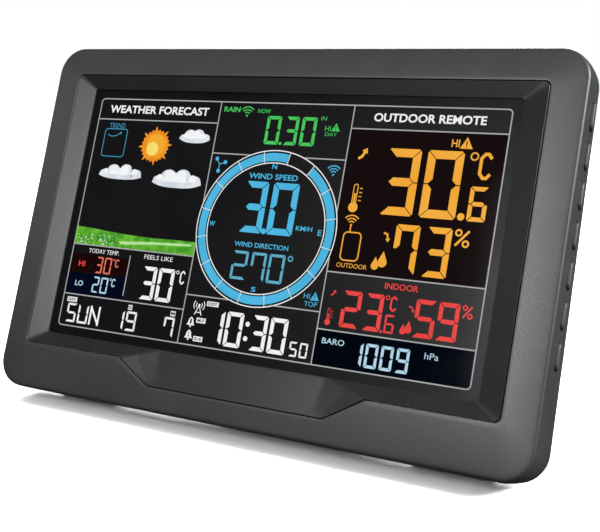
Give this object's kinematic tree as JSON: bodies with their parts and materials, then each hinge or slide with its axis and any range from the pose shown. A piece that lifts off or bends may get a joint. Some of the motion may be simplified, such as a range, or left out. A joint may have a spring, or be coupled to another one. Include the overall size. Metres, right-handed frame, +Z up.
{
  "type": "home weather station",
  "caption": "Desk weather station with a leaned-back rounded case, a wide colour display in a sloped bezel, side keys, a rear fold-out stand and a battery bay.",
  "frame": {"origin": "centre of the footprint on the desk", "axes": "+Z up, display facing -Y, +X to the right of a person facing the display"},
  "size_m": [0.2066, 0.066, 0.1303],
  "materials": {
    "case_plastic": "fine matt texture",
    "key_plastic": "fine matt texture",
    "door_plastic": "fine matt texture",
    "stand_plastic": "fine matt texture",
    "bezel_plastic": "satin",
    "display_window": "clear, polished",
    "lcd_glass": "polished black",
    "diffuser": "frosted",
    "white_plastic": "matt",
    "ribbon_film": "smooth",
    "circuit_board": "solder mask",
    "rubber_pad": "matt",
    "steel": "zinc plated",
    "cell_wrap": "printed sleeve",
    "copper_wire": "enamelled",
    "ferrite": "matt ceramic",
    "black_plastic": "matt"
  },
  "bodies": {
    "kickstand": {"kickstand": "stand_plastic", "kickstand_pad": "rubber_pad"},
    "battery_door": {"battery_door": "door_plastic"},
    "button_1": {"button_1": "key_plastic"},
    "button_2": {"button_2": "key_plastic"},
    "button_3": {"button_3": "key_plastic"},
    "button_4": {"button_4": "key_plastic"},
    "button_5": {"button_5": "key_plastic"},
    "button_6": {"button_6": "key_plastic"},
    "button_7": {"button_7": "key_plastic"},
    "case": {"front_frame": "case_plastic", "inner_bezel": "bezel_plastic", "display_lens": "display_window", "lcd_panel": "lcd_glass", "light_guide": "diffuser", "backlight_strip": "white_plastic", "lcd_tray": "white_plastic", "lcd_ribbon": "ribbon_film", "main_board": "circuit_board", "radio_module": "circuit_board", "sensor_board": "circuit_board", "buzzer": "black_plastic", "ferrite_rod": "ferrite", "antenna_coil": "copper_wire", "dc_jack": "black_plastic", "button_board": "circuit_board", "rear_cover": "case_plastic", "contact_plate_left": "steel", "contact_plate_right": "steel", "kickstand_pin_left": "steel", "kickstand_pin_right": "steel", "foot_left": "rubber_pad", "foot_right": "rubber_pad", "battery_cell_1": "cell_wrap", "battery_spring_1": "steel", "battery_cell_2": "cell_wrap", "battery_spring_2": "steel", "battery_cell_3": "cell_wrap", "battery_spring_3": "steel", "case_screw_1": "steel", "case_screw_2": "steel", "case_screw_3": "steel", "case_screw_4": "steel", "case_screw_5": "steel", "case_screw_6": "steel", "tray_screw_1": "steel", "tray_screw_2": "steel", "tray_screw_3": "steel", "tray_screw_4": "steel", "board_screw_1": "steel", "board_screw_2": "steel"}
  },
  "joints": [
    {"name": "kickstand_hinge", "type": "hinge", "parent": "case", "child": "kickstand", "pos_m": [-0.00045, 0.00961, 0.0559], "axis": [1, 0, 0], "range_deg": [-42.01, 0]},
    {"name": "battery_door_lift", "type": "slide", "parent": "case", "child": "battery_door", "axis": [0, 0.9354, -0.3535], "range_m": [0, 0.04]},
    {"name": "button_1_press", "type": "slide", "parent": "case", "child": "button_1", "axis": [-1, 0, 0], "range_m": [0, 0.0008], "stiffness_N_per_m": 600, "springref_m": -0.0004},
    {"name": "button_2_press", "type": "slide", "parent": "case", "child": "button_2", "axis": [-1, 0, 0], "range_m": [0, 0.0008], "stiffness_N_per_m": 600, "springref_m": -0.0004},
    {"name": "button_3_press", "type": "slide", "parent": "case", "child": "button_3", "axis": [-1, 0, 0], "range_m": [0, 0.0008], "stiffness_N_per_m": 600, "springref_m": -0.0004},
    {"name": "button_4_press", "type": "slide", "parent": "case", "child": "button_4", "axis": [-1, 0, 0], "range_m": [0, 0.0008], "stiffness_N_per_m": 600, "springref_m": -0.0004},
    {"name": "button_5_press", "type": "slide", "parent": "case", "child": "button_5", "axis": [-1, 0, 0], "range_m": [0, 0.0008], "stiffness_N_per_m": 600, "springref_m": -0.0004},
    {"name": "button_6_press", "type": "slide", "parent": "case", "child": "button_6", "axis": [-1, 0, 0], "range_m": [0, 0.0008], "stiffness_N_per_m": 600, "springref_m": -0.0004},
    {"name": "button_7_press", "type": "slide", "parent": "case", "child": "button_7", "axis": [-1, 0, 0], "range_m": [0, 0.0008], "stiffness_N_per_m": 600, "springref_m": -0.0004}
  ]
}
